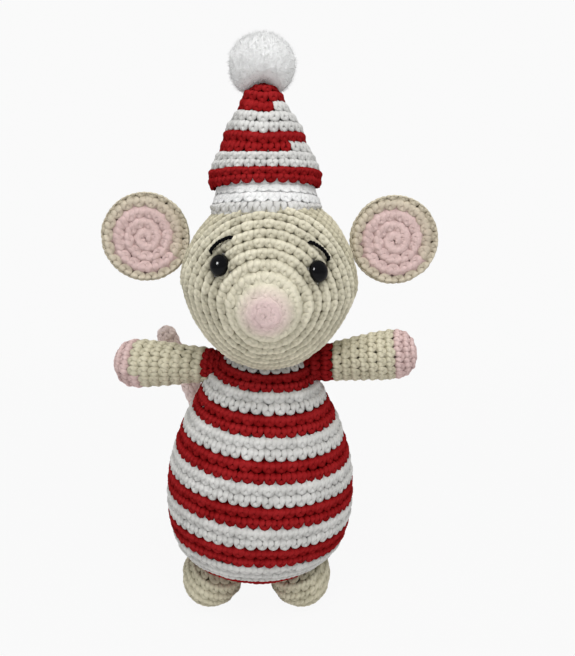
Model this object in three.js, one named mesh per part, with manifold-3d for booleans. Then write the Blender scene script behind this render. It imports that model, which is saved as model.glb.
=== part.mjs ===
// Crocheted mouse cat toy: striped pear-shaped body, round head with a snout, flat ears,
// arms, feet, tail, and a striped hat with a pompom.
// Millimetres, +Z up. The face looks along -Y. Left is -X and right is +X, as seen from the front.
import * as THREE from 'three';
import { mergeVertices } from 'three/addons/utils/BufferGeometryUtils.js';
import Module from 'manifold-3d';

const wasm = await Module();
wasm.setup();

// Driving dimensions in millimetres, angles in degrees.
const seamGap = 0.3;
const yarnWall = 2.6;

const body = { bottom: 10, height: 93.5, radius: 38.8 };
const head = { radius: 34.8, snoutLength: 41, shiftX: 4, shiftY: -3.5, neckSink: 4.7 };
const nose = { arc: 7 };
const headClosing = { arc: 1.3 };
const headAngle = { pitch: 11, roll: 3.5, turn: 25 };
const eye = { radius: 3.6, domeHeight: 3, stemRadius: 1.2, stemLength: 8, sideways: 17.4, above: 13.9 };
const washer = { radius: 4.6, thickness: 1.4 };
const brow = { radius: 0.6 };
const browFromEye = [{ outward: 3.4, up: 3 }, { outward: 1.1, up: 6.8 }, { outward: -2.8, up: 8.7 }];
const ear = { radius: 17.6, thickness: 4.8, rimWidth: 4.8, lining: 2.4, edge: 1.1 };
const earSeam = { depth: 1.6, behind: 3 };
const earAngle = { left: 18.2, right: 16.8, flex: 15 };
const arm = { length: 42, radius: 10.1, sleeveLength: 5, handLength: 9.4, drop: 5.5 };
const armAngle = { leftRise: -0.5, rightRise: 7.5, leftBack: 10, rightBack: -6, swing: 15 };
const foot = { width: 24.6, length: 40, height: 20, flat: 0.5, spacing: 36.2, forward: 4, shiftX: -1.9 };
const tail = { radius: 4.3, length: 88, rootHeight: 30, rootX: -4 };
const tailAngle = { outward: 25, inward: 5 };
const brim = { height: 10.2, radius: 22.7, wall: 3.4 };
const hat = { height: 38, radius: 22.9, shiftX: -1.2, shiftY: 1.5, overHead: 8.6 };
const hatAngle = { back: 4, left: 1.6 };
const pompom = { radius: 13.1, above: 7.6, behind: 2.5 };

// Rounds of crochet in each length of yarn, from the first round on. A third value says how tall these
// rounds are, as a share of an even one.
const bodyStripes = [
  ['body_base_red', 7],
  ['body_hem_white', 3],
  ['body_stripe_red_1', 2],
  ['body_stripe_white_1', 2],
  ['body_stripe_red_2', 2],
  ['body_stripe_white_2', 2],
  ['body_stripe_red_3', 2],
  ['body_stripe_white_3', 2],
  ['body_stripe_red_4', 2],
  ['body_stripe_white_4', 2],
  ['body_yoke_red', 2, 0.88],
  ['body_collar_white', 1, 1.24],
];
const hatStripes = [
  ['hat_stripe_red_1', 2, 0.7],
  ['hat_stripe_white_1', 2, 0.7],
  ['hat_stripe_red_2', 2, 0.9],
  ['hat_stripe_white_2', 2, 1.1],
  ['hat_tip_red', 4, 1.05],
];

// Facets around each kind of piece, and steps along its outline.
const facets = {
  body: 24, head: 22, hat: 18, ear: 22, limb: 14, foot: 16, eye: 12, brow: 6, tail: 8, ball: 16,
};
const steps = {
  body: 18, stripe: 2, base: 4, head: 16, headBack: 8, nose: 2, hat: 9, hatTop: 24,
  limb: 8, foot: 10, dome: 3, brow: 6, tail: 20,
};
const swingIntervals = 4;
const arcDivisions = 800;
const halvings = 40;

// Outlines as shares of each piece's own radius and length or height, from the first round on.
const bodyOutlineShares = [
  [0, 0], [0.42, 0.012], [0.67, 0.06], [0.892, 0.15], [0.99, 0.29], [0.997, 0.43],
  [0.951, 0.556], [0.83, 0.706], [0.678, 0.829], [0.526, 0.936], [0.394, 1],
];
const snoutOutlineShares = [
  [0, 1], [0.1, 0.99], [0.195, 0.963], [0.316, 0.902], [0.471, 0.817],
  [0.644, 0.707], [0.822, 0.561], [0.943, 0.39], [0.994, 0.195],
];
const armOutlineShares = [
  [0.74, -0.24], [0.74, 0], [0.76, 0.126], [0.83, 0.286], [0.92, 0.476], [0.99, 0.667],
  [1, 0.786], [0.92, 0.881], [0.69, 0.952], [0.39, 0.988], [0, 1],
];
const hatOutlineShares = [
  [0.97, 0], [1, 0.1], [0.925, 0.22], [0.82, 0.34], [0.735, 0.46], [0.65, 0.58],
  [0.525, 0.7], [0.425, 0.82], [0.3, 0.93], [0.15, 0.985], [0, 1],
];
const brimOutlineShares = [[0.965, 0], [1, 0.24], [0.945, 0.52], [0.975, 0.8], [0.955, 1]];
const tailRouteShares = [
  [0.011, -0.057, -0.011], [-0.045, 0.057, 0.045], [-0.136, 0.068, 0.159], [-0.227, 0.017, 0.318],
  [-0.284, -0.034, 0.466], [-0.33, -0.08, 0.614], [-0.386, -0.119, 0.75], [-0.42, -0.148, 0.852],
];
const chinNarrowingShare = 0.1;
const faceShare = 0.5;
const footRoundness = 2.4;
const yarnRoughness = 0.95;
const plasticRoughness = 0.15;

const beige = 0xd8cfb4;
const pink = 0xe2c3bf;
const red = 0xa81f26;
const white = 0xe9e8e4;
const black = 0x0c0b0b;
const fibre = 0xf2f1ec;
const clear = 0xc9c9c4;

function yarn(color) {
  return new THREE.MeshStandardMaterial({ color, roughness: yarnRoughness, metalness: 0 });
}

function plastic(color) {
  return new THREE.MeshStandardMaterial({ color, roughness: plasticRoughness, metalness: 0 });
}

function stripeColor(name) {
  return name.includes('white') ? white : red;
}

// Six times the volume that a triangle mesh encloses, negative when it is inside out.
function windingSum(place, corners) {
  const [a, b, c] = [new THREE.Vector3(), new THREE.Vector3(), new THREE.Vector3()];
  let sum = 0;
  for (let i = 0; i < corners.length; i += 3) {
    a.fromArray(place, corners[i] * 3);
    b.fromArray(place, corners[i + 1] * 3);
    c.fromArray(place, corners[i + 2] * 3);
    sum += a.dot(b.cross(c));
  }
  return sum;
}

function toSolid(geometry) {
  const bare = geometry.clone();
  bare.deleteAttribute('normal');
  bare.deleteAttribute('uv');
  const indexed = mergeVertices(bare);
  const vertProperties = new Float32Array(indexed.attributes.position.array);
  const corners = [];
  for (let i = 0; i < indexed.index.count; i += 3) {
    const [a, b, c] = indexed.index.array.slice(i, i + 3);
    if (a !== b && b !== c && c !== a) corners.push(a, b, c);
  }
  if (windingSum(vertProperties, corners) < 0) corners.reverse();
  return new wasm.Manifold(new wasm.Mesh({ numProp: 3, vertProperties, triVerts: new Uint32Array(corners) }));
}

function toGeometry(solid) {
  const mesh = solid.getMesh();
  const geometry = new THREE.BufferGeometry();
  geometry.setAttribute('position', new THREE.BufferAttribute(mesh.vertProperties, 3));
  geometry.setIndex(new THREE.BufferAttribute(mesh.triVerts, 1));
  geometry.computeVertexNormals();
  return geometry;
}

function addPiece(group, name, solid, material) {
  const piece = new THREE.Mesh(toGeometry(solid), material);
  piece.name = name;
  group.add(piece);
}

function addGroup(parent, x, y, z) {
  const group = new THREE.Group();
  group.position.set(x, y, z);
  parent.add(group);
  group.updateWorldMatrix(true, false);
  return group;
}

function turnGroup(group, xDegrees, yDegrees, zDegrees) {
  group.rotation.set(
    THREE.MathUtils.degToRad(xDegrees),
    THREE.MathUtils.degToRad(yDegrees),
    THREE.MathUtils.degToRad(zDegrees),
    'ZYX',
  );
  group.updateWorldMatrix(true, false);
}

// A solid given in one group's frame, carried into another group's frame.
function inFrame(solid, from, to) {
  const carry = to.matrixWorld.clone().invert().multiply(from.matrixWorld);
  return solid.transform(carry.elements);
}

function turnedAbout(solid, pivot, axis, degrees) {
  const turn = new THREE.Matrix4().makeTranslation(pivot.x, pivot.y, pivot.z);
  turn.multiply(new THREE.Matrix4().makeRotationAxis(axis, THREE.MathUtils.degToRad(degrees)));
  turn.multiply(new THREE.Matrix4().makeTranslation(-pivot.x, -pivot.y, -pivot.z));
  return solid.transform(turn.elements);
}

// Angles at which a swing from one limit to the other is looked at.
function swingStops(fromDegrees, toDegrees) {
  const stops = [];
  for (let i = 0; i <= swingIntervals; i += 1) {
    stops.push(THREE.MathUtils.lerp(fromDegrees, toDegrees, i / swingIntervals));
  }
  return stops;
}

// What is left of a piece once all that it would strike in its swing is cut away.
function clearedThroughSwing(piece, obstacle, pivot, axis, fromDegrees, toDegrees) {
  return swingStops(fromDegrees, toDegrees).reduce(
    (left, degrees) => left.subtract(turnedAbout(obstacle, pivot, axis, -degrees)),
    piece,
  );
}

// Outlines are curves of (radius, place along the axis).
function outlineOf(outlineShares, radius, start, length) {
  const curve = new THREE.SplineCurve(outlineShares.map(
    ([radiusShare, lengthShare]) => new THREE.Vector2(radiusShare * radius, start + lengthShare * length),
  ));
  curve.arcLengthDivisions = arcDivisions;
  return curve;
}

function outlinePoint(curve, share, offset) {
  const point = curve.getPointAt(share);
  const tangent = curve.getTangentAt(share);
  return new THREE.Vector2(Math.max(0, point.x + tangent.y * offset), point.y - tangent.x * offset);
}

function stretchOf(curve, from, to, offset, stepCount) {
  const points = [];
  for (let i = 0; i <= stepCount; i += 1) {
    points.push(outlinePoint(curve, THREE.MathUtils.lerp(from, to, i / stepCount), offset));
  }
  return points;
}

// The share of an outline's length at which it passes a place along its axis.
function shareAtPlace(curve, place) {
  let [low, high] = [0, 1];
  for (let i = 0; i < halvings; i += 1) {
    const middle = (low + high) / 2;
    if (curve.getPointAt(middle).y < place) low = middle;
    else high = middle;
  }
  return low;
}

// A round solid under a stretch of an outline, closed flat to the axis at both ends.
function roundForm(curve, from, to, offset, stepCount, sides) {
  const points = stretchOf(curve, from, to, offset, stepCount);
  points.unshift(new THREE.Vector2(0, points[0].y));
  points.push(new THREE.Vector2(0, points[points.length - 1].y));
  return new THREE.LatheGeometry(points, sides);
}

// One length of yarn in a crocheted cover: a ring as thick as the wall, or a cap where the
// outline meets the axis.
function coverRing(curve, from, to, stepCount, sides) {
  const trim = seamGap / 2 / curve.getLength();
  const start = from > 0 ? from + trim : from;
  const end = to < 1 ? to - trim : to;
  const outer = stretchOf(curve, start, end, 0, stepCount);
  const inner = stretchOf(curve, start, end, -yarnWall, stepCount).reverse();
  const startsOnAxis = curve.getPointAt(start).x < seamGap;
  const endsOnAxis = curve.getPointAt(end).x < seamGap;
  if (startsOnAxis) {
    outer[0].x = 0;
    inner[inner.length - 1].x = 0;
    return new THREE.LatheGeometry([...outer, ...inner], sides);
  }
  if (endsOnAxis) {
    outer[outer.length - 1].x = 0;
    inner[0].x = 0;
    return new THREE.LatheGeometry([...inner, ...outer], sides);
  }
  return new THREE.LatheGeometry([...outer, ...inner, outer[0]], sides);
}

function upright(geometry) {
  return geometry.rotateX(Math.PI / 2);
}

// Where each stripe starts and ends, as shares of the outline's length.
function stripeSpans(stripes) {
  const total = stripes.reduce((sum, [, count, share = 1]) => sum + count * share, 0);
  let done = 0;
  return stripes.map(([name, count, share = 1]) => {
    const from = done / total;
    done += count * share;
    return { name, count, from, to: done / total };
  });
}

const toy = new THREE.Group();

// Frames: the head stands over the neck, the face is pitched down and rolled, the hat leans back a little.
const headGroup = addGroup(
  toy,
  head.shiftX,
  head.shiftY,
  body.bottom + body.height + head.radius - head.neckSink,
);
const faceGroup = addGroup(headGroup, 0, 0, 0);
turnGroup(faceGroup, headAngle.pitch, headAngle.roll, 0);
const hatGroup = addGroup(headGroup, hat.shiftX, hat.shiftY, head.radius - hat.overHead);
turnGroup(hatGroup, -hatAngle.back, -hatAngle.left, 0);

// Head form: a ball behind the widest round and a snout in front of it, narrower towards the chin.
function headOutline() {
  const curve = outlineOf(snoutOutlineShares, head.radius, 0, -head.snoutLength);
  for (let i = 0; i <= steps.headBack; i += 1) {
    const angle = (Math.PI / 2) * (i / steps.headBack);
    curve.points.push(new THREE.Vector2(Math.cos(angle), Math.sin(angle)).multiplyScalar(head.radius));
  }
  curve.updateArcLengths();
  return curve;
}

function narrowChin(geometry) {
  const place = geometry.attributes.position;
  for (let i = 0; i < place.count; i += 1) {
    const belowShare = Math.max(0, -place.getZ(i) / head.radius);
    place.setX(i, place.getX(i) * (1 - chinNarrowingShare * belowShare));
  }
  return geometry;
}

const headCurve = headOutline();

function headSolid(offset) {
  return toSolid(narrowChin(roundForm(headCurve, 0, 1, offset, steps.head, facets.head)));
}

// A point of the face by how far it lies beside the snout's axis and above it, with its outward direction.
function facePoint(sideways, above) {
  const radius = Math.hypot(sideways, above);
  let [low, high] = [0, faceShare];
  for (let i = 0; i < halvings; i += 1) {
    const middle = (low + high) / 2;
    if (headCurve.getPointAt(middle).x < radius) low = middle;
    else high = middle;
  }
  const tangent = headCurve.getTangentAt(low);
  return {
    place: new THREE.Vector3(sideways, headCurve.getPointAt(low).y, above),
    outward: new THREE.Vector3(
      (sideways / radius) * tangent.y,
      -tangent.x,
      (above / radius) * tangent.y,
    ),
  };
}

// Body form: a pear that stands on the feet.
const bodyCurve = outlineOf(bodyOutlineShares, body.radius, body.bottom, body.height);

function bodySolid(offset) {
  return toSolid(upright(roundForm(bodyCurve, 0, 1, offset, steps.body, facets.body)));
}

const grownHead = headSolid(seamGap);
const grownBody = bodySolid(seamGap);

// The room that the head takes as it turns on the neck.
function headRoom() {
  const up = new THREE.Vector3(0, 0, 1);
  const atRest = inFrame(grownHead, faceGroup, toy);
  const places = swingStops(-headAngle.turn, headAngle.turn).map(
    (degrees) => turnedAbout(atRest, headGroup.position, up, degrees),
  );
  return places.reduce((room, place) => room.add(place));
}

const turningHead = headRoom();

// Body: fibre fill under one cover whose yarn changes at each stripe, hollowed at the neck for the head.
function addBody() {
  addPiece(toy, 'body_fill', bodySolid(-yarnWall - seamGap).subtract(turningHead), yarn(fibre));
  stripeSpans(bodyStripes).forEach(({ name, count, from, to }) => {
    const stepCount = count > steps.base ? steps.base : steps.stripe;
    const ring = toSolid(upright(coverRing(bodyCurve, from, to, stepCount, facets.body)));
    addPiece(toy, name, ring.subtract(turningHead), yarn(stripeColor(name)));
  });
}

// Eyes: a dome on a stem that passes the head's cover and is held by a washer behind it.
function eyeGeometry(growth) {
  const points = [
    new THREE.Vector2(0, -eye.stemLength - growth),
    new THREE.Vector2(eye.stemRadius + growth, -eye.stemLength - growth),
    new THREE.Vector2(eye.stemRadius + growth, seamGap - growth),
    new THREE.Vector2(eye.radius + growth, seamGap - growth),
  ];
  for (let i = 1; i <= steps.dome; i += 1) {
    const angle = (Math.PI / 2) * (i / steps.dome);
    points.push(new THREE.Vector2(
      Math.cos(angle) * (eye.radius + growth),
      seamGap + Math.sin(angle) * (eye.domeHeight + growth),
    ));
  }
  points[points.length - 1].x = 0;
  return new THREE.LatheGeometry(points, facets.eye);
}

const washerTop = -yarnWall - seamGap * 2;

function washerGeometry() {
  const hole = eye.stemRadius + seamGap;
  return new THREE.LatheGeometry([
    new THREE.Vector2(hole, washerTop - washer.thickness),
    new THREE.Vector2(washer.radius, washerTop - washer.thickness),
    new THREE.Vector2(washer.radius, washerTop),
    new THREE.Vector2(hole, washerTop),
    new THREE.Vector2(hole, washerTop - washer.thickness),
  ], facets.eye);
}

// The room that a washer takes from the fill, open towards the head's cover.
function washerRoom() {
  const height = washer.thickness + washer.radius;
  const room = new THREE.CylinderGeometry(
    washer.radius + seamGap,
    washer.radius + seamGap,
    height,
    facets.eye,
  );
  return room.translate(0, washerTop - washer.thickness - seamGap + height / 2, 0);
}

function eyeGroup(side) {
  const { place, outward } = facePoint(side * eye.sideways, eye.above);
  const group = addGroup(faceGroup, place.x, place.y, place.z);
  group.quaternion.setFromUnitVectors(new THREE.Vector3(0, 1, 0), outward);
  group.updateWorldMatrix(true, false);
  return group;
}

const eyes = [['left', eyeGroup(-1)], ['right', eyeGroup(1)]];

function addEyes() {
  eyes.forEach(([side, group]) => {
    addPiece(group, `eye_${side}`, toSolid(eyeGeometry(0)), plastic(black));
    addPiece(group, `eye_washer_${side}`, toSolid(washerGeometry()), plastic(clear));
  });
}

// Head: the nose tip is the first rounds of the cover, and the last round is drawn in at the back.
function addHead() {
  const noseShare = nose.arc / headCurve.getLength();
  const closingShare = 1 - headClosing.arc / headCurve.getLength();
  const tip = toSolid(narrowChin(coverRing(headCurve, 0, noseShare, steps.nose, facets.head)));
  let cover = toSolid(narrowChin(coverRing(headCurve, noseShare, closingShare, steps.head, facets.head)));
  let fill = headSolid(-yarnWall - seamGap);
  eyes.forEach(([, group]) => {
    const grownEye = inFrame(toSolid(eyeGeometry(seamGap)), group, faceGroup);
    cover = cover.subtract(grownEye);
    fill = fill.subtract(grownEye).subtract(inFrame(toSolid(washerRoom()), group, faceGroup));
  });
  addPiece(faceGroup, 'nose_tip', tip, yarn(pink));
  addPiece(faceGroup, 'head_cover', cover, yarn(beige));
  addPiece(faceGroup, 'head_fill', fill, yarn(fibre));
}

function roundSection(radius, sides) {
  const section = new THREE.Shape();
  section.absarc(0, 0, radius, 0, Math.PI * 2);
  return new THREE.Shape(section.getSpacedPoints(sides).slice(0, sides));
}

// Eyebrows: a black thread that lies in an arc over each eye.
function addBrow(name, side) {
  const lift = brow.radius + seamGap;
  const route = browFromEye.map((offset) => {
    const sideways = side * (eye.sideways + offset.outward);
    const { place, outward } = facePoint(sideways, eye.above + offset.up);
    return place.addScaledVector(outward, lift);
  });
  const thread = new THREE.ExtrudeGeometry(roundSection(brow.radius, facets.brow), {
    extrudePath: new THREE.CatmullRomCurve3(route),
    steps: steps.brow,
    bevelEnabled: false,
  });
  addPiece(faceGroup, name, toSolid(thread), yarn(black));
}

// Ears: a round back with a raised rim, and a lining inside the rim, sewn to the head at one edge.
function earBackGeometry() {
  const front = -ear.thickness / 2;
  const back = ear.thickness / 2;
  const rimInside = ear.radius - ear.rimWidth;
  return new THREE.LatheGeometry([
    new THREE.Vector2(0, back),
    new THREE.Vector2(ear.radius - ear.edge, back),
    new THREE.Vector2(ear.radius, back - ear.edge),
    new THREE.Vector2(ear.radius, front + ear.edge),
    new THREE.Vector2(ear.radius - ear.edge, front),
    new THREE.Vector2(rimInside + ear.edge, front),
    new THREE.Vector2(rimInside, front + ear.edge),
    new THREE.Vector2(rimInside, front + ear.lining),
    new THREE.Vector2(0, front + ear.lining),
  ], facets.ear);
}

function earLiningGeometry() {
  const front = -ear.thickness / 2;
  const radius = ear.radius - ear.rimWidth - seamGap;
  return new THREE.LatheGeometry([
    new THREE.Vector2(0, front + ear.lining - seamGap),
    new THREE.Vector2(radius, front + ear.lining - seamGap),
    new THREE.Vector2(radius, front + ear.edge),
    new THREE.Vector2(radius - ear.edge, front),
    new THREE.Vector2(0, front),
  ], facets.ear);
}

function addEar(name, side, degrees) {
  const angle = THREE.MathUtils.degToRad(degrees);
  const outward = new THREE.Vector3(side * Math.cos(angle), 0, Math.sin(angle));
  const hingeAxis = new THREE.Vector3(-side * Math.sin(angle), 0, Math.cos(angle));
  const toSeam = ear.radius - earSeam.depth;
  const centre = outward.clone().multiplyScalar(head.radius + toSeam);
  const group = addGroup(headGroup, centre.x, earSeam.behind, centre.z);
  const seam = outward.clone().multiplyScalar(-toSeam);
  const obstacle = inFrame(grownHead, faceGroup, group);
  const back = toSolid(earBackGeometry());
  const cleared = clearedThroughSwing(back, obstacle, seam, hingeAxis, -earAngle.flex, earAngle.flex);
  addPiece(group, `${name}_back`, cleared, yarn(beige));
  addPiece(group, `${name}_lining`, toSolid(earLiningGeometry()), yarn(pink));
}

// Arms: a red sleeve, a beige arm and a pink hand in one row of rounds, sewn to the body at the
// shoulder, a little below the neck.
function addArm(side, sign, rise, back) {
  const shoulderHeight = body.bottom + body.height - arm.drop;
  const shoulder = bodyCurve.getPointAt(shareAtPlace(bodyCurve, shoulderHeight));
  const group = addGroup(toy, sign * shoulder.x, 0, shoulderHeight);
  turnGroup(group, 0, -rise, sign > 0 ? back : 180 - back);
  const curve = outlineOf(armOutlineShares, arm.radius, 0, arm.length);
  const wrist = arm.length - arm.handLength;
  const toOutward = (geometry) => toSolid(geometry.rotateZ(-Math.PI / 2));
  const section = (from, to) => toOutward(roundForm(
    curve,
    from === null ? 0 : shareAtPlace(curve, from),
    to === null ? 1 : shareAtPlace(curve, to),
    0,
    steps.limb,
    facets.limb,
  ));
  const obstacle = inFrame(grownBody.add(turningHead), toy, group);
  const turnInverse = group.quaternion.clone().invert();
  const hingeAxis = new THREE.Vector3(0, 1, 0).applyQuaternion(turnInverse);
  const cleared = (solid) => clearedThroughSwing(
    solid,
    obstacle,
    new THREE.Vector3(),
    hingeAxis,
    -armAngle.swing,
    armAngle.swing,
  );
  addPiece(group, `sleeve_${side}`, cleared(section(null, arm.sleeveLength)), yarn(red));
  addPiece(group, `arm_${side}`, cleared(section(arm.sleeveLength + seamGap, wrist)), yarn(beige));
  addPiece(group, `hand_${side}`, section(wrist + seamGap, null), yarn(pink));
}

// Feet: squashed balls, flat at the sole, that the body sits in.
function footGeometry() {
  const halfHeight = foot.height / 2;
  const points = [];
  for (let i = 0; i <= steps.foot; i += 1) {
    const heightShare = -Math.cos((Math.PI * i) / steps.foot);
    const radiusShare = (1 - Math.abs(heightShare) ** footRoundness) ** (1 / footRoundness);
    points.push(new THREE.Vector2((radiusShare * foot.width) / 2, heightShare * halfHeight));
  }
  points[0].x = 0;
  points[points.length - 1].x = 0;
  return upright(new THREE.LatheGeometry(points, facets.foot)).scale(1, foot.length / foot.width, 1);
}

function addFoot(name, side) {
  const x = foot.shiftX + (side * foot.spacing) / 2;
  const group = addGroup(toy, x, -foot.forward, foot.height / 2 - foot.flat);
  const under = new THREE.BoxGeometry(foot.width, foot.length, foot.height);
  under.translate(0, 0, foot.flat - foot.height);
  const solid = toSolid(footGeometry()).subtract(toSolid(under)).subtract(inFrame(grownBody, toy, group));
  addPiece(group, name, solid, yarn(beige));
}

// Tail: a thin stuffed tube from the middle of the back that curls up behind the left arm.
function addTail() {
  const rootShare = shareAtPlace(bodyCurve, tail.rootHeight);
  const rootY = bodyCurve.getPointAt(rootShare).x;
  const group = addGroup(toy, tail.rootX, rootY, tail.rootHeight);
  const route = new THREE.CatmullRomCurve3(tailRouteShares.map(
    (share) => new THREE.Vector3(...share).multiplyScalar(tail.length),
  ));
  const tube = toSolid(new THREE.ExtrudeGeometry(roundSection(tail.radius, facets.tail), {
    extrudePath: route,
    steps: steps.tail,
    bevelEnabled: false,
  }));
  const end = route.getPoint(1);
  const tip = new THREE.SphereGeometry(tail.radius, facets.tail, facets.tail / 2);
  tip.translate(end.x, end.y, end.z);
  const whole = tube.add(toSolid(tip));
  const obstacle = inFrame(grownBody, toy, group);
  const hingeAxis = new THREE.Vector3(0, -1, 0);
  const cleared = clearedThroughSwing(
    whole,
    obstacle,
    new THREE.Vector3(),
    hingeAxis,
    -tailAngle.inward,
    tailAngle.outward,
  );
  addPiece(group, 'tail', cleared, yarn(pink));
}

// Hat: a thick white brim round the crown of the head, a striped cone over fibre fill, and a pompom.
function addHat() {
  const coneStart = brim.height + seamGap;
  const cone = outlineOf(hatOutlineShares, hat.radius, coneStart, hat.height);
  const headHere = inFrame(grownHead, faceGroup, hatGroup);
  const brimOuter = stretchOf(outlineOf(brimOutlineShares, brim.radius, 0, brim.height), 0, 1, 0, steps.limb);
  const brimInside = brim.radius - brim.wall;
  const brimRing = toSolid(upright(new THREE.LatheGeometry([
    ...brimOuter,
    new THREE.Vector2(brimInside, brim.height),
    new THREE.Vector2(brimInside, 0),
    brimOuter[0],
  ], facets.hat)));
  addPiece(hatGroup, 'hat_brim_white', brimRing.subtract(headHere), yarn(white));

  const coneInside = stretchOf(cone, 0, 1, -yarnWall - seamGap, steps.hat);
  const fillRadius = Math.min(brimInside - seamGap, coneInside[0].x);
  coneInside[coneInside.length - 1].x = 0;
  const fill = toSolid(upright(new THREE.LatheGeometry([
    new THREE.Vector2(0, 0),
    new THREE.Vector2(fillRadius, 0),
    new THREE.Vector2(fillRadius, brim.height),
    ...coneInside,
  ], facets.hat)));
  addPiece(hatGroup, 'hat_fill', fill.subtract(headHere), yarn(fibre));

  stripeSpans(hatStripes).forEach(({ name, from, to }) => {
    const stepCount = to < 1 ? steps.stripe : steps.base;
    const ring = toSolid(upright(coverRing(cone, from, to, stepCount, facets.hat)));
    addPiece(hatGroup, name, ring, yarn(stripeColor(name)));
  });

  const group = addGroup(hatGroup, 0, pompom.behind, coneStart + hat.height + pompom.above);
  const grownCone = toSolid(upright(roundForm(cone, 0, 1, seamGap, steps.hatTop, facets.hat)));
  const ball = toSolid(new THREE.SphereGeometry(pompom.radius, facets.ball, facets.ball / 2));
  addPiece(group, 'pompom', ball.subtract(inFrame(grownCone, hatGroup, group)), yarn(white));
}

addBody();
addHead();
addEyes();
addBrow('eyebrow_left', -1);
addBrow('eyebrow_right', 1);
addEar('ear_left', -1, earAngle.left);
addEar('ear_right', 1, earAngle.right);
addArm('left', -1, armAngle.leftRise, armAngle.leftBack);
addArm('right', 1, armAngle.rightRise, armAngle.rightBack);
addFoot('foot_left', -1);
addFoot('foot_right', 1);
addTail();
addHat();

// The origin is under the middle of the toy, on the surface that the soles stand on.
toy.updateMatrixWorld(true);
const bounds = new THREE.Box3().setFromObject(toy, true);
const middle = bounds.getCenter(new THREE.Vector3());
toy.position.set(-middle.x, -middle.y, -bounds.min.z);
toy.updateMatrixWorld(true);

export default toy;
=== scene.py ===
# A crocheted mouse cat toy on a pale floor: a striped body, a head with a snout, flat ears, arms, feet,
# a tail that curls up behind one arm, and a striped hat with a pompom.
# Metres, +Z up, the face towards -Y. Left is -X, as seen from the front.
import math

import bpy
import numpy as np
from mathutils import Matrix, Vector


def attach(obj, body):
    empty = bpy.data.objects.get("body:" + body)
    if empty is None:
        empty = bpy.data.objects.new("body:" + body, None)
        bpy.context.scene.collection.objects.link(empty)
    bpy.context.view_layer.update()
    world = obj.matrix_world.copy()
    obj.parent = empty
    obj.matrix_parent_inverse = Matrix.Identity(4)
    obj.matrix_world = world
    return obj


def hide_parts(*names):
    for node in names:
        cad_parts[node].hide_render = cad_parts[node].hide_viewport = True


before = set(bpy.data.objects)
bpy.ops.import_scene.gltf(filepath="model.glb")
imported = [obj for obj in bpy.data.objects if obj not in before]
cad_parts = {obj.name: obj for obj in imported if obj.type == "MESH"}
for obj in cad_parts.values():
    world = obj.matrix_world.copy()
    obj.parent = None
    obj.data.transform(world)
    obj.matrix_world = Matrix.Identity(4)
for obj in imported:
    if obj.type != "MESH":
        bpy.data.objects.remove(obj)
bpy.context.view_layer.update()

# Camera: it stands a little to the right of the toy, looks down on it by eleven degrees, and takes a
# picture of 575 by 656 pixels.
mm = 0.001
picture_height_px = 656
focal_length_px = 785
camera_place = Vector((6.8, -309.6, 175.1)) * mm
camera_pitch = math.radians(-11.4)
camera_near = 10 * mm
camera_far = 20000 * mm

camera_data = bpy.data.cameras.new("camera")
camera_data.lens = camera_data.sensor_width * focal_length_px / picture_height_px
camera_data.clip_start = camera_near
camera_data.clip_end = camera_far
camera = bpy.data.objects.new("camera", camera_data)
camera.location = camera_place
camera.rotation_euler = (math.pi / 2 + camera_pitch, 0, 0)
bpy.context.scene.collection.objects.link(camera)
bpy.context.scene.camera = camera
bpy.context.scene.view_settings.view_transform = "Standard"

# Stuffing of the body: loose white fibre packed into a pear shape, which fills the cover and shows only
# as a pale ground behind the smallest holes.
tau = 2 * math.pi
body_centre = Vector((-4.2, -1.8, 10)) * mm
body_radius = 38.8 * mm
body_height = 93.5 * mm
body_outline_shares = [
    (0, 0), (0.42, 0.012), (0.67, 0.06), (0.892, 0.15), (0.99, 0.29), (0.997, 0.43),
    (0.951, 0.556), (0.83, 0.706), (0.678, 0.829), (0.526, 0.936), (0.394, 1),
]
stuffing_depth = 2.9 * mm
stuffing_lump = 0.5 * mm
stuffing_lump_size = 14 * mm
stuffing_strand = 1.2 * mm
stuffing_rows = 60
stuffing_columns = 96
stuffing_color = (0.82, 0.81, 0.78)
steps_in_turn = 360
fibre_detail_share = 0.3
fibre_shade = (0.3, 0.7, 0.9, 1.04)


def curve_through(points, steps=24):
    """A smooth curve through the points, which rounds each corner evenly."""
    points = np.asarray(points, float)
    last = len(points) - 1
    t = np.linspace(0, 1, steps, endpoint=False)[:, None]
    stretches = []
    for i in range(last):
        before, start, end, after = (points[min(max(i + k, 0), last)] for k in (-1, 0, 1, 2))
        lead, trail = (end - before) / 2, (after - start) / 2
        cubic = 2 * start - 2 * end + lead + trail
        square = -3 * start + 3 * end - 2 * lead - trail
        stretches.append(cubic * t**3 + square * t**2 + lead * t + start)
    return np.concatenate([*stretches, points[-1:]])


def walked_along(points):
    """How far along the points each of them lies."""
    return np.concatenate([[0], np.cumsum(np.linalg.norm(np.diff(points, axis=0), axis=1))])


def unit(vectors):
    """The vectors, each made one long."""
    return vectors / np.linalg.norm(vectors, axis=-1)[..., None]


class Outline:
    """Half of a round form's section: radius and height along the length of its surface."""

    def __init__(self, points):
        self.points = curve_through(points)
        self.arcs = walked_along(self.points)
        self.length = self.arcs[-1]
        slopes = unit(np.gradient(self.points, self.arcs, axis=0))
        self.columns = np.column_stack([self.points, slopes[:, 1], -slopes[:, 0]])

    def at(self, arc):
        """Radius, height, and the outward direction as (outwards, upwards)."""
        return [np.interp(arc, self.arcs, column) for column in self.columns.T]

    def radius(self, arc):
        return np.interp(arc, self.arcs, self.columns[:, 0])

    def arc_at_height(self, height):
        return float(np.interp(height, self.columns[:, 1], self.arcs))


def scaled_outline(shares, radius, height):
    return Outline([(x * radius, y * height) for x, y in shares])


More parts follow.
